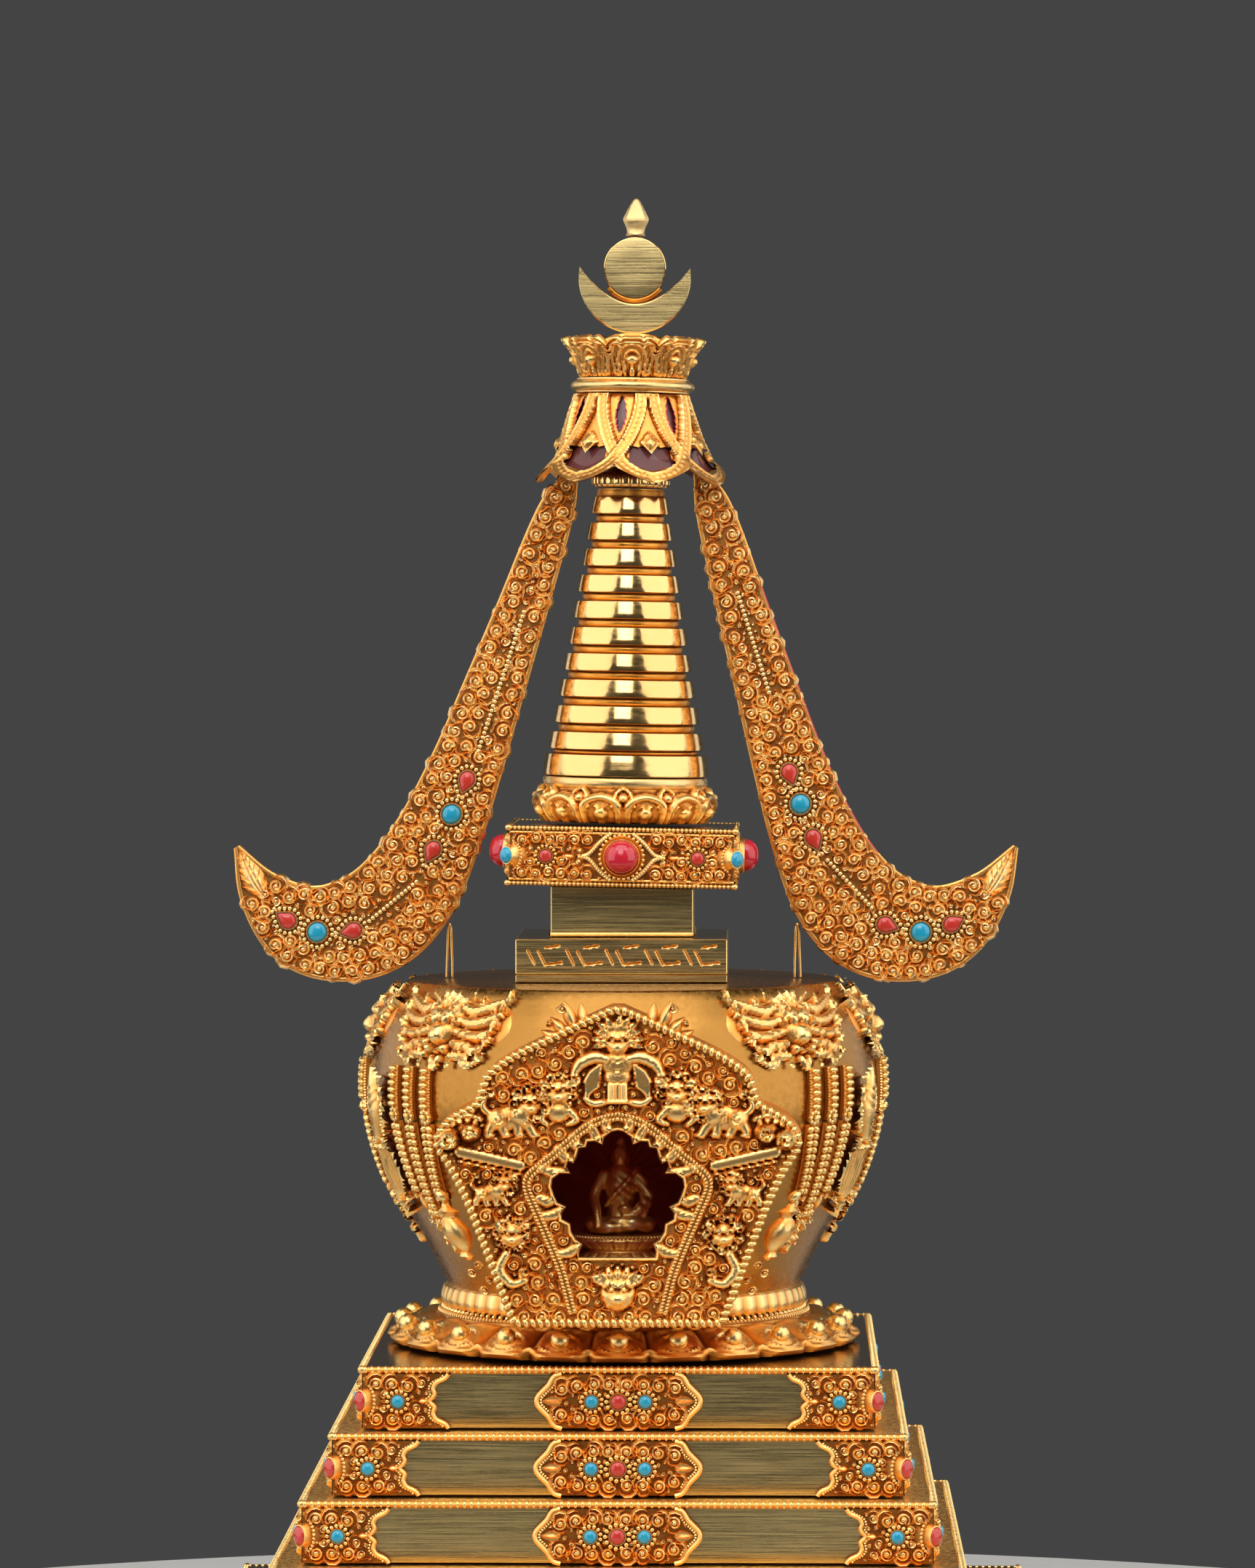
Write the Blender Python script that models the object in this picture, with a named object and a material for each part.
# Altar stupa of gilt copper set with coral and turquoise, in one upright stack.
# All sizes are in millimetres and become metres when a mesh is made. The front is -Y, up is +Z.
import math

import bmesh
import bpy
from mathutils import Matrix, Vector

MM = 0.001

# Joint left between two pieces that rest on each other
GAP = 0.3

# Throne that carries the steps, with a plain course let in under the lowest step
THRONE_H = 40.0
THRONE_HALF = 114.0
THRONE_WAIST_IN = 15.0
THRONE_FOOT_OUT = 1.5
MOULDING = 3.0
COURSE_H = 11.1
COURSE_IN = 4.0

# Four square steps, the top one first, each lower one wider all round
STEPS = 4
STEP_H = 16.9
STEP_HALF = 69.1
STEP_OUT = 7.55
PLAQUE_T = 1.3
BEAD = 2.1

# Lotus ring under the dome
LOTUS_R = 64.4
LOTUS_H = 8.2
LOTUS_PETALS = 24

# Dome: a hollow shell with a niche in front
DOME_R = 70.0
DOME_H = 91.0
DOME_TOP_RISE = 0.2
DOME_LIP = 3.8
SHOULDER = 1.5
WALL = 2.0
FLOOR_RISE = 16.4

# Niche front, a plate bent back to the dome, with a cusped opening
NICHE_OUT = 4.6
NICHE_CLEAR = 0.5
CUT_CLEAR = 0.8
RIDGE = 1.0
NICHE_W = 97.8
NICHE_H = 84.4
NICHE_RISE = 3.7
OPENING_W = 36.0
OPENING_H = 33.0
OPENING_RISE = 21.0

# Seated figure on its lotus seat
FIGURE_H = 27.5
SEAT_H = 7.8
SEAT_W = 25.5
FIGURE_BACK = 29.0

# Lion masks with their bead strings, and the leaf pendants between them
MASK_OUT = 4.6
LIE_OFF = 0.8
STRING_SHIFT = 8.0

# Square plinth, neck and box over the dome
PLINTH_HALF = 28.7
PLINTH_H = 12.4
PLATE_H = 2.4
SEAM = 0.5
NECK_HALF = 19.4
NECK_H = 13.6
BOX_HALF = 31.5
BOX_H = 17.0
CORAL_R = 4.5
CORAL_OUT = 6.4

# Spire of rings on its lotus
SPIRE_LOTUS_R = 24.0
SPIRE_LOTUS_H = 12.8
SPIRE_PETALS = 12
RINGS = 11
RING_PITCH = 7.17
RING_BAND = 4.8
RING_R_LOW = 22.9
RING_R_HIGH = 10.9
RING_TAPER = 0.7
GROOVE = 1.8
STEM_R = 6.0
HUB_R = 10.7
HUB_H = 4.4
STEM_H = 21.2

# Bell-shaped parasol with lobes, and what stands on it
PARASOL_R = 25.4
PARASOL_TOP_R = 14.8
PARASOL_H = 24.4
PARASOL_LOBES = 7
LOBE_DROP = 3.0
PARASOL_WALL = 1.2
COLLAR_R = 17.1
COLLAR_H = 4.7
CROWN_R = 19.6
CROWN_H = 10.7
CROWN_PETALS = 8
LIP_DROP = 1.6
CAP_RISE = 1.6

# How far the box and all it carries, and the streamers, lean to the right per height
SPIRE_LEAN = 0.02
STREAMER_LEAN = 0.029

# Moon, sun and jewel
MOON_R = 15.4
SUN_R = 8.5
SUN_ROOM = 2.3
SUN_SEAT = 1.2
FINIAL_T = 3.2
JEWEL_R = 3.5
JEWEL_H = 10.4

# Flat streamers that hang from the parasol and curl out, clear of the side corals
STREAMER_OUT = 69.2
STREAMER_DROP = 139.5
STREAMER_UNDER = 0.3
STREAMER_W = 13.6
STREAMER_T = 3.0
WIRE = 1.0


# Levels, from the ground up
THRONE_TOP = THRONE_H + COURSE_H
STEP_TOP = THRONE_TOP + STEPS * STEP_H
DOME_FOOT = STEP_TOP + LOTUS_H
DOME_RIM = DOME_FOOT + DOME_H
DOME_TOP = DOME_RIM + DOME_TOP_RISE
FLOOR = DOME_FOOT + FLOOR_RISE
NECK_FOOT = DOME_TOP + PLINTH_H
BOX_FOOT = NECK_FOOT + NECK_H
BOX_TOP = BOX_FOOT + BOX_H
SPIRE_FOOT = BOX_TOP + SPIRE_LOTUS_H
HUB_FOOT = SPIRE_FOOT + RINGS * RING_PITCH
PARASOL_TOP = HUB_FOOT + HUB_H + STEM_H
CROWN_FOOT = PARASOL_TOP + COLLAR_H
CROWN_TOP = CROWN_FOOT + CROWN_H
MOON_FOOT = CROWN_TOP + CAP_RISE
NICHE_Y = -DOME_R - NICHE_OUT
STREAMER_REACH = BOX_HALF + CORAL_OUT + STREAMER_OUT
FIGURE_Y = FIGURE_BACK - DOME_R


# Materials


def metal(name, colour, roughness):
    made = bpy.data.materials.new(name)
    made.use_nodes = True
    shader = made.node_tree.nodes["Principled BSDF"]
    shader.inputs["Base Color"].default_value = (*colour, 1.0)
    shader.inputs["Metallic"].default_value = 1.0
    shader.inputs["Roughness"].default_value = roughness
    return made


def stone(name, colour, roughness):
    made = metal(name, colour, roughness)
    made.node_tree.nodes["Principled BSDF"].inputs["Metallic"].default_value = 0.0
    return made


# Shapes


def loft(rows, ring=False):
    """A closed body through rows of points. A row may be one point. A ring joins its last row to its first."""
    body = bmesh.new()
    loops = [[body.verts.new(Vector(point) * MM) for point in row] for row in rows]
    following = loops[1:] + loops[:1] if ring else loops[1:]
    for low, high in zip(loops, following):
        for i in range(max(len(low), len(high))):
            corners = [low[i % len(low)], low[(i + 1) % len(low)]]
            corners += [high[(i + 1) % len(high)], high[i % len(high)]]
            corners = list(dict.fromkeys(corners))
            if len(corners) > 2:
                body.faces.new(corners)
    if not ring:
        for end in (loops[0], loops[-1]):
            if len(end) > 2:
                body.faces.new(end)
    bmesh.ops.recalc_face_normals(body, faces=body.faces)
    return body


def turn(profile, sides, shape=None):
    """Rows round Z from (radius, height) pairs. shape(phase, row) gives factors for the radius and an added height."""
    rows = []
    for number, (radius, height) in enumerate(profile):
        if radius == 0:
            rows.append([(0, 0, height)])
            continue
        row = []
        for i in range(sides):
            angle = math.tau * i / sides
            wide, up = shape(angle, number) if shape else (1.0, 0.0)
            row.append((radius * wide * math.sin(angle), -radius * wide * math.cos(angle), height + up))
        rows.append(row)
    return rows


def square(profile):
    """Rows of four corners from (half width, height) pairs."""
    return [[(h * x, h * y, z) for x, y in ((-1, -1), (1, -1), (1, 1), (-1, 1))] for h, z in profile]


def smooth_table(table, at):
    """A smooth curve through evenly shared (place, value) pairs."""
    places = [place for place, value in table]
    k = max(i for i in range(len(table) - 1) if places[i] <= at or i == 0)
    before = table[max(k - 1, 0)]
    start, end = table[k], table[k + 1]
    after = table[min(k + 2, len(table) - 1)]
    span = end[0] - start[0]
    t = (at - start[0]) / span
    slope_in = (end[1] - before[1]) / (end[0] - before[0]) * span
    slope_out = (after[1] - start[1]) / (after[0] - start[0]) * span
    a = 2 * t**3 - 3 * t**2 + 1
    b = t**3 - 2 * t**2 + t
    return a * start[1] + b * slope_in + (1 - a) * end[1] + (t**3 - t**2) * slope_out


def place(name, body, material, crease=35.0):
    """Makes the body an object of its own, smooth but for its sharp edges."""
    mesh = bpy.data.meshes.new(name)
    body.to_mesh(mesh)
    body.free()
    mesh.materials.append(material)
    mesh.shade_smooth()
    mesh.set_sharp_from_angle(angle=math.radians(crease))
    made = bpy.data.objects.new(name, mesh)
    bpy.context.scene.collection.objects.link(made)
    return made


def copy_of(made, name, turn_deg):
    other = bpy.data.objects.new(name, made.data)
    other.rotation_euler.z = math.radians(turn_deg)
    bpy.context.scene.collection.objects.link(other)
    return other


def helper(name, body, material):
    made = place(name, body, material)
    made.hide_render = True
    made.display_type = "WIRE"
    return made


def combine(made, other, operation):
    step = made.modifiers.new(operation.title(), "BOOLEAN")
    step.operation = operation
    step.solver = "EXACT"
    step.object = other


def ball(centre, size, sides=10, rows=6):
    """Rows of a stretched ball."""
    profile = [(math.sin(math.pi * i / rows), -math.cos(math.pi * i / rows)) for i in range(rows + 1)]
    profile[0] = (0, -1)
    profile[-1] = (0, 1)
    made = turn(profile, sides)
    return [[tuple(c + s * p for c, s, p in zip(centre, size, point)) for point in row] for row in made]


def tube(points, radii, sides=6):
    """Rows of a tube along points in a plane, or nearly so."""
    rows = []
    for i, point in enumerate(points):
        here = Vector(point)
        before = Vector(points[max(i - 1, 0)])
        after = Vector(points[min(i + 1, len(points) - 1)])
        ahead = (after - before).normalized()
        across = ahead.cross(Vector((0.03, -1.0, 0.05))).normalized()
        other = ahead.cross(across)
        turns = [math.tau * j / sides for j in range(sides)]
        rows.append([tuple(here + radii[i] * (math.cos(t) * across + math.sin(t) * other)) for t in turns])
    return rows


# Throne and steps


def throne(gold):
    """A low square seat with a beaded top edge, a waist and a stepped foot."""
    edge = THRONE_HALF
    waist = edge - THRONE_WAIST_IN
    foot = edge + THRONE_FOOT_OUT
    neck = edge - 1.3 * MOULDING
    under = THRONE_H - BEAD - 0.7 * MOULDING
    course = min(STEP_HALF + (STEPS - 1) * STEP_OUT - COURSE_IN, edge - 2 * BEAD)
    profile = [
        (foot, 0),
        (foot, 0.16 * THRONE_H),
        (foot - MOULDING, 0.23 * THRONE_H),
        (foot - MOULDING, 0.3 * THRONE_H),
        (waist, 0.38 * THRONE_H),
        (waist, 0.66 * THRONE_H),
        (neck, 0.76 * THRONE_H),
        (neck, under),
        (edge - BEAD / 2, under),
        (edge - BEAD / 2, THRONE_H - BEAD),
        (edge, THRONE_H - BEAD / 2),
        (edge - BEAD / 2, THRONE_H),
        (course, THRONE_H),
        (course, THRONE_TOP),
    ]
    return place("throne", loft(square(profile)), gold, 20)


def plaque_ends(level, half):
    """Where the corner plaque and the centre plaque end on one wall, at a level from -1 to 1."""
    centre = 0.325 * STEP_HALF * (1 - 0.24 * abs(level) ** 1.6)
    corner = half - 0.25 * STEP_HALF - 0.085 * STEP_HALF * abs(level)
    return corner, centre


def wall_row(half, level, z):
    """One turn round a step: corner plaques and centre plaques stand out of the wall."""
    corner, centre = plaque_ends(level, half)
    out = half - BEAD * 0.45
    deep = out - PLAQUE_T
    marks = [(-out, out), (-corner, out), (-corner, deep), (-centre, deep), (-centre, out)]
    marks += [(-x, y) for x, y in reversed(marks[1:])]
    row = []
    for side in range(4):
        c, s = ((1, 0), (0, 1), (-1, 0), (0, -1))[side]
        row += [(c * x + s * y, s * x - c * y, z) for x, y in marks]
    return row


def step(name, half, foot, gold):
    """A box with a bead wire on its top edge and raised plaques on its walls."""
    top = foot + STEP_H - GAP
    low = foot
    high = top - BEAD
    rows = [wall_row(half, level, low + (high - low) * (level + 1) / 2) for level in (-1, 0, 1)]
    body = bmesh.new()
    loops = [[body.verts.new(Vector(point) * MM) for point in row] for row in rows]
    for below, above in zip(loops, loops[1:]):
        for i in range(len(below)):
            j = (i + 1) % len(below)
            body.faces.new((below[i], below[j], above[j], above[i]))
    body.faces.new(loops[0])
    lid_rows = square([(half, high), (half, high + BEAD / 2), (half - BEAD * 0.4, top)])
    lid_rows[0] = [(x, y, z) for x, y, z in lid_rows[0]]
    lids = [[body.verts.new(Vector(point) * MM) for point in row] for row in lid_rows]
    count = len(loops[-1]) // 4
    for side in range(4):
        # The wall's top row meets the wire's lower edge side by side.
        wall = [loops[-1][(side * count + i) % len(loops[-1])] for i in range(count + 1)]
        body.faces.new([lids[0][side], lids[0][(side + 1) % 4], *reversed(wall)])
    for below, above in zip(lids, lids[1:]):
        for i in range(4):
            j = (i + 1) % 4
            body.faces.new((below[i], below[j], above[j], above[i]))
    body.faces.new(lids[-1])
    bmesh.ops.recalc_face_normals(body, faces=body.faces)
    return place(name, body, gold, 20)


# Dome


DOME_CURVE = [
    (0.04, 0.668),
    (0.12, 0.715),
    (0.23, 0.79),
    (0.34, 0.876),
    (0.45, 0.94),
    (0.56, 0.982),
    (0.67, 1.0),
    (0.78, 0.99),
    (0.89, 0.943),
    (0.96, 0.886),
    (1.0, 0.85),
]


def dome_r(z):
    """The dome's radius at a height above its foot."""
    return DOME_R * smooth_table(DOME_CURVE, min(max(z / DOME_H, DOME_CURVE[0][0]), 1.0))


def dome_point(azimuth, z, out):
    """A point at a turn from the front, a height above the dome's foot and a distance off its wall."""
    angle = math.radians(azimuth)
    r = dome_r(z) + out
    return (r * math.sin(angle), -r * math.cos(angle), DOME_FOOT + z)


def lotus_ring(gold):
    """Petals that lie down and outward, each with a swollen middle."""

    def petal(angle, row):
        phase = (angle / math.tau * LOTUS_PETALS) % 1.0
        middle = math.sin(math.pi * phase)
        weight = (0.02, 0.035, 0.05, 0.0)[row]
        return 1.0 - weight * (1 - middle), (0, 0, 1.1 * middle, 0)[row]

    profile = [
        (0.955 * LOTUS_R, STEP_TOP),
        (LOTUS_R, STEP_TOP + 0.22 * LOTUS_H),
        (0.955 * LOTUS_R, STEP_TOP + 0.52 * LOTUS_H),
        (0.81 * LOTUS_R, DOME_FOOT - GAP),
    ]
    return place("lotus_ring", loft(turn(profile, LOTUS_PETALS * 2, petal)), gold)


def opening_half(t):
    """Half the niche opening's width at a share of its height: a round head over narrowing leaf cusps."""
    curve = [(0.0, 0.6), (0.14, 0.55), (0.28, 0.8), (0.42, 0.78), (0.58, 1.0), (0.7, 0.95), (0.8, 0.74)]
    curve += [(0.92, 0.56), (1.0, 0.04)]
    return OPENING_W / 2 * smooth_table(curve, t)


def opening_outline(grow=0.0):
    """(x, z) round the opening, from its lower left, up and over its head."""
    low = DOME_FOOT + OPENING_RISE
    left = []
    for i in range(9):
        t = i / 9
        left.append((-opening_half(t) - grow, low + t * OPENING_H - grow * (1 - 2 * t)))
    head = [(0.0, low + OPENING_H + grow)]
    return left + head + [(-x, z) for x, z in reversed(left)]


def prism(outline, front, back):
    """Rows of a straight body along Y."""
    return [[(x, front, z) for x, z in outline], [(x, back, z) for x, z in outline]]


def dome_profile(out):
    """(radius, height) pairs of the dome's wall from its foot ring to its rim, at a distance off the wall."""
    foot = [(0.69, 0), (0.715, 0.34), (0.695, 0.74), (0.66, 1.0)]
    profile = [(share * DOME_R + out, DOME_FOOT + z * DOME_LIP) for share, z in foot]
    shares = [0.11, 0.22, 0.33, 0.45, 0.58, 0.7, 0.8, 0.89, 0.95, 1.0]
    return profile + [(dome_r(t * DOME_H) + out, DOME_FOOT + t * DOME_H) for t in shares]


def dome(gold):
    """A hollow shell with a ring and a lip at its foot, a flat shoulder, and the niche cut through in front."""
    profile = dome_profile(0.0)
    flat = min(PLINTH_HALF * math.sqrt(2) + SHOULDER, 0.95 * dome_r(DOME_H))
    profile.append((flat, DOME_TOP))
    shell = place("dome", loft(turn(profile, 28)), gold)
    low = FLOOR_RISE
    high = DOME_H - WALL
    inner = []
    for i in range(6):
        z = low + (high - low) * i / 5
        inner.append((dome_r(z) - WALL, DOME_FOOT + z))
    combine(shell, helper("dome_hollow", loft(turn(inner, 14)), gold), "DIFFERENCE")
    cut = prism(opening_outline(CUT_CLEAR), -DOME_R - 2 * NICHE_OUT, -0.45 * DOME_R)
    combine(shell, helper("dome_cut", loft(cut), gold), "DIFFERENCE")
    return shell


# Niche front


def frame_half(t):
    """Half the niche front's width at a share of its height: leaning sides, a corner and an ogee head."""
    curve = [(0.0, 0.58), (0.25, 0.745), (0.5, 0.905), (0.58, 1.0), (0.655, 0.905), (0.7, 0.76)]
    curve += [(0.78, 0.72), (0.86, 0.59), (0.92, 0.36), (0.96, 0.19), (1.0, 0.03)]
    for (a, low), (b, high) in zip(curve, curve[1:]):
        if t <= b:
            return NICHE_W / 2 * (low + (high - low) * (t - a) / (b - a))
    return 0.0


def frame_outline(count):
    """(x, z) round the niche front, with as many points as the opening's outline."""
    low = DOME_FOOT + NICHE_RISE
    marks = [0.0, 0.25, 0.42, 0.56, 0.62, 0.69, 0.76, 0.86, 0.945]
    left = [(-frame_half(t), low + t * NICHE_H) for t in marks[: count // 2]]
    head = [(0.0, low + NICHE_H)]
    return left + head + [(-x, z) for x, z in reversed(left)]


def relief(x, z):
    """How far the figures stand out: the bird over the arch, beasts at its shoulders, riders down the sides."""
    unit = NICHE_W / 97.8
    tall = NICHE_H / 84.4
    base = DOME_FOOT + NICHE_RISE
    figures = [(0, 70, 9, 3.0), (17, 59, 7, 2.2), (30, 49, 8, 2.2), (31, 34, 6, 2.0), (27, 20, 6, 2.0), (0, 5, 8, 2.0)]
    out = 0.0
    for fx, fz, size, height in figures:
        away = math.hypot(abs(x) - fx * unit, z - base - fz * tall) / (size * unit)
        out = max(out, height * RIDGE * math.exp(-away * away))
    return out


def mix(outer, inner, share):
    return [(a + (c - a) * share, b + (d - b) * share) for (a, b), (c, d) in zip(outer, inner)]


def niche_front(gold):
    """Bead-edged plate with figures and an inner band round the opening, its back bent to the dome."""
    inner = opening_outline()
    outer = frame_outline(len(inner))
    front = NICHE_Y
    back = -0.52 * DOME_R
    rows = []
    rows.append([(x, back, z) for x, z in outer])
    for share, out in ((0.0, -0.6), (0.05, 1.0), (0.11, -0.6)):
        rows.append([(x, front - out * RIDGE, z) for x, z in mix(outer, inner, share)])
    for share in (0.34, 0.56):
        rows.append([(x, front - relief(x, z), z) for x, z in mix(outer, inner, share)])
    for share, out in ((0.76, -0.4), (0.86, 1.6), (0.96, 0.4), (1.0, -0.6)):
        rows.append([(x, front - out * RIDGE, z) for x, z in mix(outer, inner, share)])
    rows.append([(x, back, z) for x, z in inner])
    made = place("niche_front", loft(rows, ring=True), gold)
    space = dome_profile(NICHE_CLEAR)
    space.append((space[-1][0], DOME_RIM + NICHE_OUT))
    combine(made, helper("niche_back", loft(turn(space, 28)), gold), "DIFFERENCE")
    return made


# Figure in the niche


def figure(gold):
    """Seated with crossed legs, the right hand over the knee and a bowl in the left."""
    seat_top = FLOOR + GAP + SEAT_H + GAP
    unit = FIGURE_H / 27.5
    y = FIGURE_Y

    def at(x, forward, up):
        return (x * unit, y - forward * unit, seat_top + up * unit)

    def sized(*size):
        return tuple(s * unit for s in size)

    base = loft(ball(at(0, 0.5, 2.3), sized(9.6, 6.6, 2.4), 10, 4))
    made = place("buddha", base, gold)
    shapes = [
        ball(at(-6.2, 2.2, 2.6), sized(3.6, 4.0, 2.3), 7, 4),
        ball(at(6.2, 2.2, 2.6), sized(3.6, 4.0, 2.3), 7, 4),
        tube([at(0, -0.8, 2), at(0, -0.9, 7), at(0, -0.9, 12), at(0, -1.0, 16.2), at(0, -1.0, 18)],
             sized(4.5, 3.9, 4.9, 4.4, 1.7), 7),
        ball(at(0, -0.6, 20.9), sized(2.5, 2.7, 3.2), 7, 5),
        ball(at(0, -1.0, 24.3), sized(1.35, 1.4, 2.0), 6, 4),
        tube([at(-4.6, -0.6, 15.4), at(-6.9, 0.3, 10.2), at(-6.2, 4.0, 6.0), at(-6.1, 6.0, 2.2)],
             sized(1.9, 1.7, 1.3, 0.9), 6),
        tube([at(4.6, -0.6, 15.4), at(6.9, 0.2, 10.0), at(4.8, 3.6, 6.2), at(1.2, 4.8, 5.4)],
             sized(1.9, 1.7, 1.4, 1.1), 6),
        ball(at(1.6, 4.6, 7.0), sized(2.3, 2.1, 1.5), 7, 4),
    ]
    for number, rows in enumerate(shapes):
        combine(made, helper(f"buddha_{number}", loft(rows), gold), "UNION")
    return made


def seat(gold):
    """Two rows of petals, back to back at a waist."""

    def petal(angle, row):
        lift = 0.5 + 0.5 * math.cos(angle * 9)
        return 1.0 + (0, 0, 0.05, 0, 0, 0.06, 0, 0)[row] * lift, 0.0

    half = SEAT_W / 2
    foot = FLOOR + GAP
    shares = [(0.9, 0), (0.9, 0.1), (0.86, 0.24), (0.7, 0.42), (0.72, 0.5), (0.9, 0.7), (1.0, 0.84), (0.97, 1.0)]
    profile = [(half * r, foot + SEAT_H * z) for r, z in shares]
    rows = turn(profile, 18, petal)
    rows = [[(x, FIGURE_Y + 0.7 * y, z) for x, y, z in row] for row in rows]
    return place("buddha_seat", loft(rows), gold)


# Garlands on the dome


def patch(rows, gold, name):
    """A casting that lies on the dome. Each row is (height, middle, half turn, heights across)."""
    made = []
    for z, middle, half, across in rows:
        last = len(across) - 1
        row = [dome_point(middle - half + 2 * half * i / last, z, LIE_OFF + out) for i, out in enumerate(across)]
        row += [dome_point(middle + half - 2 * half * i / 3, z, LIE_OFF) for i in range(4)]
        made.append(row)
    return place(name, loft(made), gold, 60)


def garland(name, shift, gold):
    """A winged lion mask that lets three bead strings fall into braided tassels."""
    m = MASK_OUT
    rows = [
        (0.975, 0, 19.5, (0.7, 0.5, 0.3, 0.25, 0.3, 0.5, 0.7)),
        (0.91, 0, 18.0, (0.35, 0.5, 0.55, 0.75, 0.55, 0.5, 0.35)),
        (0.85, 0, 15.5, (0.4, 0.55, 0.8, 1.0, 0.8, 0.55, 0.4)),
        (0.79, 0, 12.0, (0.35, 0.6, 0.95, 0.85, 0.95, 0.6, 0.35)),
        (0.73, shift, 6.6, (0.5, 0.1, 0.5, 0.1, 0.5, 0.1, 0.5)),
        (0.58, shift, 6.6, (0.5, 0.1, 0.5, 0.1, 0.5, 0.1, 0.5)),
        (0.44, shift + 0.2, 6.4, (0.4, 0.85, 0.5, 0.2, 0.5, 0.85, 0.4)),
        (0.31, shift + 0.2, 5.0, (0.3, 0.7, 0.8, 0.5, 0.8, 0.7, 0.3)),
        (0.2, shift + 0.4, 2.4, (0.2, 0.4, 0.5, 0.5, 0.5, 0.4, 0.2)),
    ]
    return patch([(z * DOME_H, mid, half, [m * a for a in across]) for z, mid, half, across in rows], gold, name)


def pendant(name, gold):
    """A flame leaf over gathered folds."""
    m = MASK_OUT
    rows = [
        (0.76, 0, 0.8, (0.2, 0.3, 0.2)),
        (0.69, 0, 3.6, (0.3, 0.8, 0.3)),
        (0.6, 0, 5.6, (0.35, 0.95, 0.35)),
        (0.5, 0, 7.0, (0.5, 1.1, 0.5)),
        (0.4, 0, 6.6, (0.6, 1.15, 0.6)),
        (0.32, 0, 3.0, (0.3, 0.6, 0.3)),
    ]
    return patch([(z * DOME_H, mid, half, [m * a for a in across]) for z, mid, half, across in rows], gold, name)


# Plinth, neck and box


def plinth(gold):
    """A square block on a slightly narrower base plate."""
    h = PLINTH_HALF
    z = DOME_TOP + GAP
    top = NECK_FOOT - GAP
    seam = [(h, z + PLATE_H - SEAM / 2), (h - SEAM, z + PLATE_H - SEAM / 4)]
    seam += [(h - SEAM, z + PLATE_H + SEAM / 4), (h, z + PLATE_H + SEAM / 2)]
    profile = [(h, z), *seam, (h, top)]
    return place("harmika_plinth", loft(square(profile)), gold, 20)


def neck(gold):
    """A plain square block, its top cut to the lean of the box."""
    low, high = square([(NECK_HALF, NECK_FOOT), (NECK_HALF, BOX_FOOT - GAP)])
    high = [(x, y, z - SPIRE_LEAN * x) for x, y, z in high]
    return place("harmika_neck", loft([low, high]), gold, 20)


def box(gold):
    """A square box with a bead wire along its upper and lower edges."""
    h = BOX_HALF
    low = BOX_FOOT
    high = BOX_TOP - GAP
    profile = [
        (h - BEAD * 0.5, low),
        (h, low + BEAD / 2),
        (h - BEAD * 0.5, low + BEAD),
        (h - BEAD * 0.5, high - BEAD),
        (h, high - BEAD / 2),
        (h - BEAD * 0.5, high),
    ]
    return place("harmika_box", loft(square(profile)), gold, 20)


def coral(name, red):
    """A round coral that bulges from the middle of the box's side."""
    y = -(BOX_HALF - BEAD * 0.5) - GAP
    z = (BOX_FOOT + BOX_TOP) / 2
    rows = []
    for share, out in ((1.0, 0.0), (1.0, 0.35), (0.9, 0.66), (0.6, 0.92)):
        angles = [math.tau * i / 9 for i in range(9)]
        rows.append([(CORAL_R * share * math.cos(a), y - CORAL_OUT * out, z + CORAL_R * share * math.sin(a))
                     for a in angles])
    rows.append([(0, y - CORAL_OUT, z)])
    return place(name, loft(rows), red)


# Spire


def spire_lotus(gold):
    """Petals that curl up round the spire's foot, with tips between them."""

    def petal(angle, row):
        phase = (angle / math.tau * SPIRE_PETALS) % 1.0
        middle = math.sin(math.pi * phase)
        return 1.0 - (0.02, 0.05, 0.05, 0.03, 0.0)[row] * (1 - middle), 0.0

    r = SPIRE_LOTUS_R
    z = BOX_TOP
    h = SPIRE_LOTUS_H - GAP
    profile = [(0.73 * r, z), (0.93 * r, z + 0.17 * h), (r, z + 0.38 * h), (0.97 * r, z + 0.7 * h), (0.93 * r, z + h)]
    return place("spire_lotus", loft(turn(profile, SPIRE_PETALS * 3, petal)), gold)


def ring_r(number):
    return RING_R_LOW + (RING_R_HIGH - RING_R_LOW) * (number / (RINGS - 1)) ** 0.93


def spire(gold):
    """Eleven slightly tapered bands with a groove over each, turned in one."""
    profile = []
    for number in range(RINGS):
        z = SPIRE_FOOT + number * RING_PITCH
        r = ring_r(number)
        following = ring_r(min(number + 1, RINGS - 1))
        high = z + RING_BAND + (0.15 * RING_PITCH if number == 0 else 0)
        profile.append((r, z))
        profile.append((r - RING_TAPER, high))
        profile.append((following - GROOVE, (high + z + RING_PITCH) / 2))
    last = profile[-1][0]
    profile.append((last, HUB_FOOT - GAP))
    return place("spire", loft(turn(profile, 14)), gold, 30)


def hub(gold):
    """A notched ring under the parasol, with the stem that carries it."""
    z = HUB_FOOT
    stem = min(STEM_R, 0.6 * HUB_R)
    profile = [
        (HUB_R, z),
        (HUB_R, z + HUB_H),
        (stem, z + 1.34 * HUB_H),
        (stem, PARASOL_TOP - PARASOL_WALL - GAP),
    ]
    return place("parasol_hub", loft(turn(profile, 14)), gold, 30)


def lobe(angle, count):
    """0 in the valley between two lobes, 1 at a lobe's tip. Two valleys flank the front."""
    phase = (angle / math.tau * count + 0.69) % 1.0
    return 1.0 - abs(2 * phase - 1.0)


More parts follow.
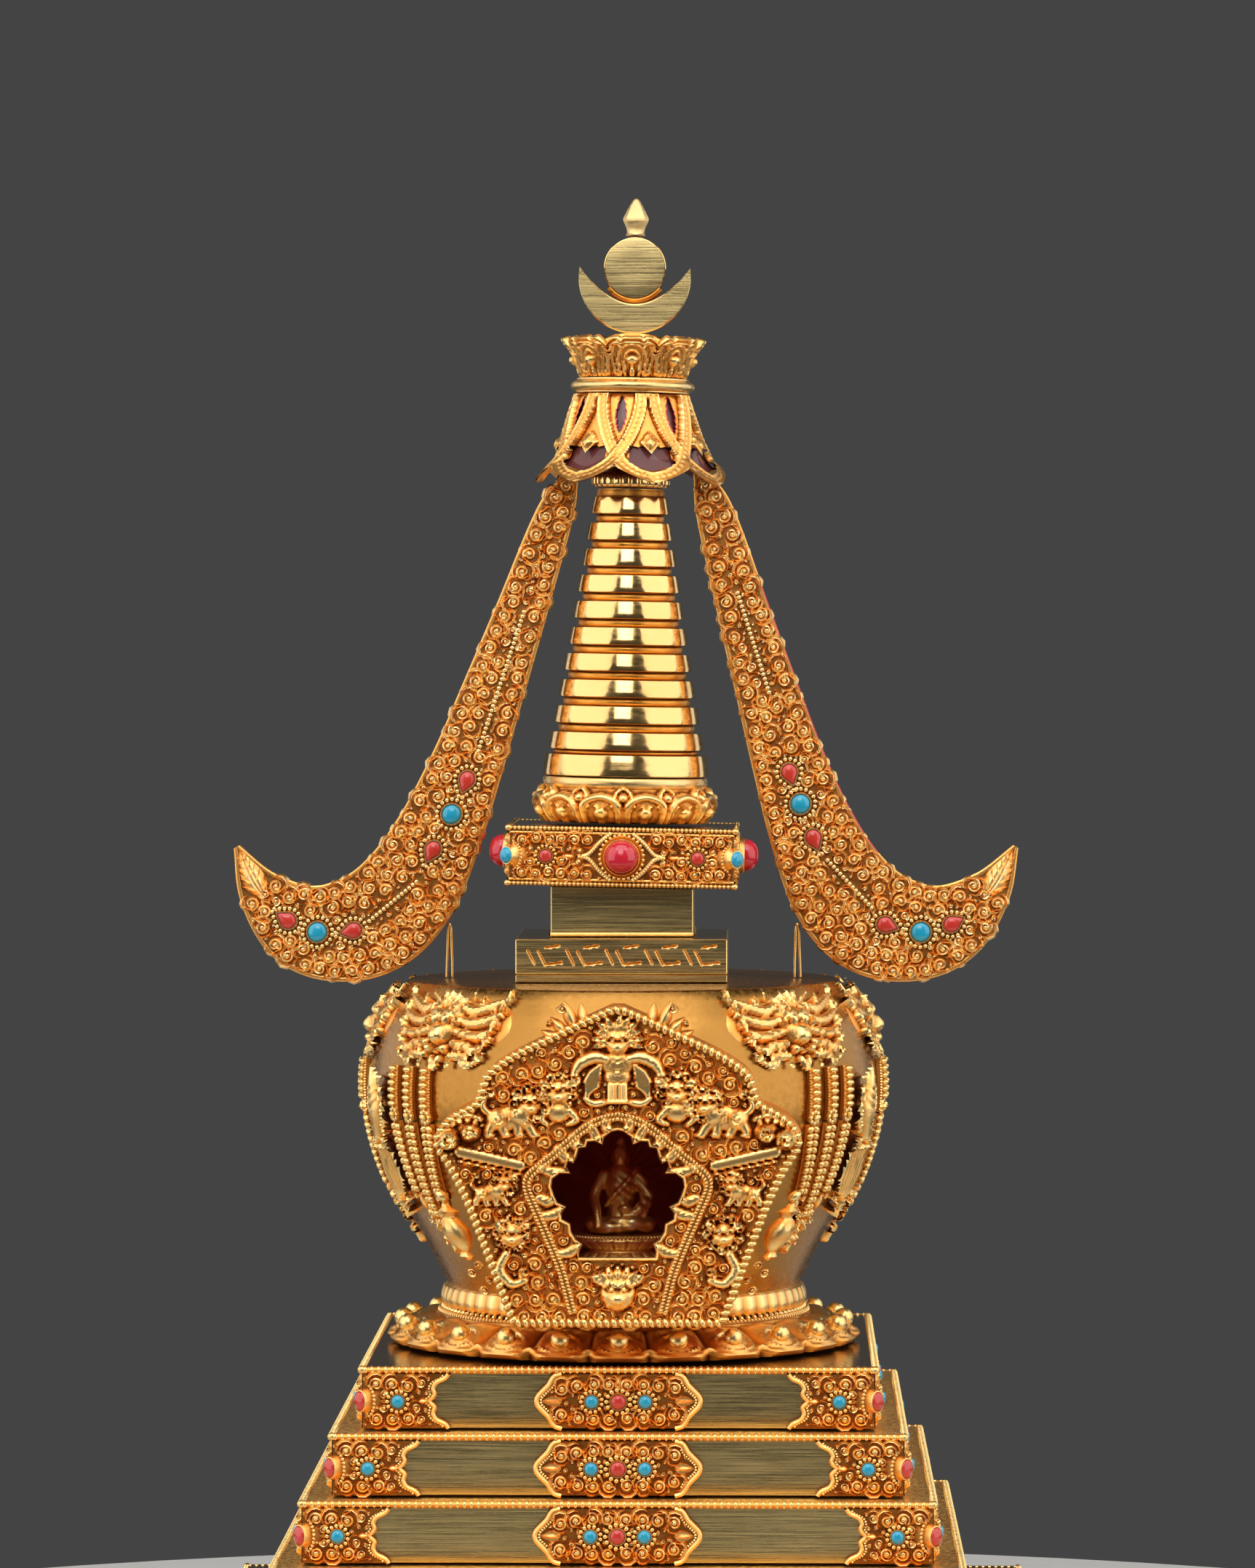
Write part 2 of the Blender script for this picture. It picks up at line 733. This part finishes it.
def parasol(gold):
    """A bell of lobes that end in points, open below."""
    tip = PARASOL_TOP - PARASOL_H
    reach = PARASOL_R - PARASOL_TOP_R
    heights = PARASOL_H
    w = PARASOL_WALL

    def shape(angle, row):
        full = lobe(angle, PARASOL_LOBES)
        wide = (0.0, 0.01, 0.02, 0.035, 0.035, 0.02, 0.01, 0.0, 0.0)[row]
        drop = (0, 0, 0, 1, 1, 0, 0, 0, 0)[row] * LOBE_DROP
        return 1.0 - wide * (1 - full), drop * (1 - full)

    outer = [(0.0, 1.0), (0.19, 0.68), (0.5, 0.38), (1.0, 0.0)]
    profile = [(PARASOL_TOP_R + reach * a, tip + heights * b) for a, b in outer]
    inner = [(PARASOL_TOP_R + reach * a - w, tip + heights * b) for a, b in ((1.0, 0.015), (0.5, 0.36), (0.19, 0.66))]
    inner.append((PARASOL_TOP_R - w, PARASOL_TOP - w))
    return place("parasol", loft(turn(profile + inner, 28, shape)), gold, 45)


def collar(gold):
    """A round ring between two thin fillets."""
    r = COLLAR_R
    h = COLLAR_H - 2 * GAP
    z = PARASOL_TOP + GAP
    shares = [(0.89, 0), (0.97, 0.18), (1.0, 0.46), (0.97, 0.76), (0.88, 1)]
    return place("parasol_collar", loft(turn([(r * a, z + h * b) for a, b in shares], 16)), gold)


def crown(gold):
    """A flared cup of petals with curled lips."""

    def petal(angle, row):
        phase = (angle / math.tau * CROWN_PETALS + 0.5) % 1.0
        middle = math.sin(math.pi * phase)
        wide = (0.0, 0.02, 0.03, 0.07, 0.07, 0.0)[row]
        drop = (0, 0, 0, -1, -1, 0)[row] * LIP_DROP
        return 1.0 - wide * (1 - middle), drop * (1 - middle)

    r = CROWN_R
    z = CROWN_FOOT
    h = CROWN_H
    profile = [
        (0.74 * r, z),
        (0.79 * r, z + 0.3 * h),
        (0.88 * r, z + 0.65 * h),
        (r, z + h),
        (0.93 * r, z + h),
        (0.74 * r, z + 0.6 * h),
    ]
    return place("crown_lotus", loft(turn(profile, CROWN_PETALS * 3, petal)), gold, 45)


def cap(gold):
    """A smooth low dome that closes the crown."""
    foot = CROWN_FOOT + 0.6 * CROWN_H + GAP
    r = 0.68 * CROWN_R
    h = MOON_FOOT - foot
    profile = [(r * math.cos(a), foot + h * math.sin(a)) for a in (0, 0.4, 0.75, 1.1)]
    profile.append((0.24 * r, MOON_FOOT))
    return place("crown_cap", loft(turn(profile, 14)), gold)


# Moon, sun and jewel


def moon(gold):
    """A flat crescent on a short foot."""
    foot = MOON_FOOT + GAP
    centre = moon_z()
    start = math.radians(11)
    outline = []
    for i in range(17):
        a = math.pi - start + (math.pi + 2 * start) * i / 16
        outline.append((MOON_R * math.cos(a), centre + MOON_R * math.sin(a)))
    tip_x, tip_z = outline[-1]
    bowl_r = SUN_R + SUN_ROOM
    low = sun_z() - bowl_r
    for i in range(1, 12):
        x = tip_x * (1 - 2 * i / 12)
        outline.append((x, low + (tip_z - low) * (abs(x) / tip_x) ** 1.75))
    outline = [(x, max(z, foot)) for x, z in outline]
    half = FINIAL_T / 2
    return place("finial_moon", loft(prism(outline, -half, half)), gold, 25)


def moon_z():
    return MOON_FOOT + 0.985 * MOON_R


def sun_z():
    return moon_z() + 0.17 * MOON_R


def sun(gold):
    """A flat disc with a rounded seat that follows the moon."""
    z = sun_z()
    half = FINIAL_T / 2
    rows = []
    for share, y in ((0.9, -1.3 * half), (1.0, -half), (1.0, half), (0.9, 1.3 * half)):
        angles = [math.tau * i / 14 for i in range(14)]
        rows.append([(SUN_R * share * math.cos(a), y, z + SUN_R * share * math.sin(a)) for a in angles])
    made = place("finial_sun", loft(rows), gold, 25)
    arc = []
    for i in range(7):
        a = math.radians(-90 - 46 + 92 * i / 6)
        arc.append((SUN_R + 0.6 * SUN_SEAT, a))
    rows = []
    for r, a in arc:
        section = [(-1.0, 0.0), (-0.6, 0.9), (0.6, 0.9), (1.0, 0.0), (0.0, -1.0)]
        outs = [(across * SUN_SEAT, r + along * SUN_SEAT) for across, along in section]
        rows.append([(out * math.cos(a), across, z + out * math.sin(a)) for across, out in outs])
    combine(made, helper("sun_seat", loft(rows), gold), "UNION")
    return made


def jewel(gold):
    """A faceted drop on a flared foot."""
    foot = sun_z() + SUN_R + GAP
    shares = [(0.86, 0.0), (0.68, 0.14), (0.72, 0.26), (1.0, 0.5), (0.93, 0.56), (0.35, 0.88)]
    profile = [(JEWEL_R * a, foot + JEWEL_H * b) for a, b in shares]
    profile.append((0, foot + JEWEL_H))
    return place("finial_jewel", loft(turn(profile, 8)), gold, 20)


# Streamers


SPINE = [
    (0.155, 1.0, 0.08),
    (0.2, 0.93, 0.37),
    (0.285, 0.726, 0.528),
    (0.35, 0.573, 0.633),
    (0.414, 0.424, 0.745),
    (0.481, 0.289, 0.888),
    (0.555, 0.181, 1.044),
    (0.642, 0.116, 1.094),
    (0.752, 0.096, 1.006),
    (0.849, 0.117, 0.828),
    (0.938, 0.18, 0.464),
    (1.0, 0.263, 0.062),
]


def spine_at(u, column):
    table = [(i, mark[column]) for i, mark in enumerate(SPINE)]
    return smooth_table(table, u)


def streamer_points(u):
    """The streamer's middle, its direction across, and its half width, at a place along it."""
    low = DOME_RIM - STREAMER_UNDER

    def middle(at):
        return Vector((-STREAMER_REACH * spine_at(at, 0), 0, low + STREAMER_DROP * spine_at(at, 1)))

    ahead = (middle(min(u + 0.1, 11)) - middle(max(u - 0.1, 0))).normalized()
    across = Vector((-ahead.z, 0, ahead.x))
    return middle(u), across, STREAMER_W * spine_at(u, 2)


def streamer(name, gold):
    """A flat band that widens into a crescent, with a raised rim and a carved ridge of curls."""
    rows = []
    count = 21
    for i in range(count):
        u = 11 * i / (count - 1)
        middle, across, half = streamer_points(u)
        t = STREAMER_T / 2
        curl = (0.46 if i % 2 else -0.14) * t
        side = 0.53 * t - t - curl
        section = [(-1, t), (-1, -t), (-0.84, -t), (-0.5, side), (0, -1.07 * t + curl)]
        section += [(0.5, side), (0.84, -t), (1, -t), (1, t)]
        rows.append([tuple(middle + along * half * across + Vector((0, y, 0))) for along, y in section])
    return place(name, loft(rows), gold, 60)


def hook(name, side, gold):
    """A hairpin of wire from the dome's shoulder up to the streamer's lower edge."""
    middle, across, half = streamer_points(6.0)
    under = middle - across * half
    if under.z > middle.z:
        under = middle + across * half
    x = abs(under.x)
    foot = DOME_RIM + GAP + dome_slope(x)
    top = under.z - 2.2 * WIRE
    y = STREAMER_T / 2 + WIRE
    points = [(x, -y, foot), (x, -y, top - 2 * WIRE), (x, -y * 0.7, top), (x, 0, top + 0.8 * WIRE)]
    points += [(a, -b, c) for a, b, c in reversed(points[:-1])]
    rows = []
    for i, point in enumerate(points):
        ahead = Vector(points[min(i + 1, 6)]) - Vector(points[max(i - 1, 0)])
        ahead.normalize()
        out = Vector((1, 0, 0))
        other = ahead.cross(out)
        turns = [math.tau * j / 6 for j in range(6)]
        ring = [Vector(point) + WIRE / 2 * (math.cos(t) * out + math.sin(t) * other) for t in turns]
        rows.append([(side * p.x, p.y, p.z) for p in ring])
    return place(name, loft(rows), gold)


def dome_slope(x):
    """How far the dome's top stands over its rim at a distance from the axis."""
    flat = min(PLINTH_HALF * math.sqrt(2) + SHOULDER, 0.95 * dome_r(DOME_H))
    rim = dome_r(DOME_H)
    share = (rim - max(x, flat)) / (rim - flat)
    return DOME_TOP_RISE * max(share, 0.0)


def lean(made):
    """Tips a piece that the neck carries to the right, about the neck's top."""
    pivot = Vector((0, 0, BOX_FOOT * MM))
    tip = Matrix.Rotation(math.atan(SPIRE_LEAN), 4, "Y")
    made.matrix_basis = Matrix.Translation(pivot) @ tip @ Matrix.Translation(-pivot) @ made.matrix_basis


def slant(made, side):
    """Gives a streamer its side and its lean."""
    for vertex in made.data.vertices:
        vertex.co.x = side * vertex.co.x + STREAMER_LEAN * (vertex.co.z - NECK_FOOT * MM)


def build():
    for old in list(bpy.data.objects):
        bpy.data.objects.remove(old, do_unlink=True)
    polished = metal("gold_polished", (0.83, 0.58, 0.22), 0.16)
    carved = metal("gold_carved", (0.80, 0.47, 0.13), 0.34)
    brushed = metal("gold_brushed", (0.72, 0.52, 0.22), 0.28)
    dark = metal("gold_dark", (0.42, 0.24, 0.08), 0.4)
    red = stone("coral", (0.62, 0.03, 0.07), 0.25)

    throne(brushed)
    for number in range(STEPS):
        foot = THRONE_TOP + (STEPS - 1 - number) * STEP_H + GAP
        step(f"step_{number + 1}", STEP_HALF + number * STEP_OUT, foot, carved)
    lotus_ring(carved)
    dome(polished)
    niche_front(carved)
    figure(dark)
    seat(dark)
    backs = garland("garland_180", 0.0, carved)
    backs.rotation_euler.z = math.radians(180)
    for azimuth in (90, 135):
        copy_of(backs, f"garland_{azimuth}", azimuth)
        copy_of(backs, f"garland_{-azimuth % 360}", -azimuth)
    for name, side in (("garland_45", 1), ("garland_315", -1)):
        made = garland(name, side * STRING_SHIFT, carved)
        made.rotation_euler.z = math.radians(45 * side)
    leaf = pendant("pendant_68", carved)
    leaf.rotation_euler.z = math.radians(69)
    for azimuth, name in ((-69, 292), (112.5, 112), (-112.5, 248), (157.5, 157), (-157.5, 203)):
        copy_of(leaf, f"pendant_{name}", azimuth)
    plinth(brushed)
    neck(brushed)
    upright = set(bpy.data.objects)
    box(carved)
    first = coral("coral_front", red)
    for name, azimuth in (("coral_right", 90), ("coral_back", 180), ("coral_left", 270)):
        copy_of(first, name, azimuth)
    spire_lotus(carved)
    spire(polished)
    hub(polished)
    parasol(carved)
    collar(polished)
    crown(carved)
    cap(polished)
    moon(brushed)
    sun(brushed)
    jewel(polished)
    for made in set(bpy.data.objects) - upright:
        lean(made)
    slant(streamer("streamer_left", carved), 1)
    right = streamer("streamer_right", carved)
    slant(right, -1)
    right.data.flip_normals()
    hook("hook_left", -1, polished)
    hook("hook_right", 1, polished)


build()
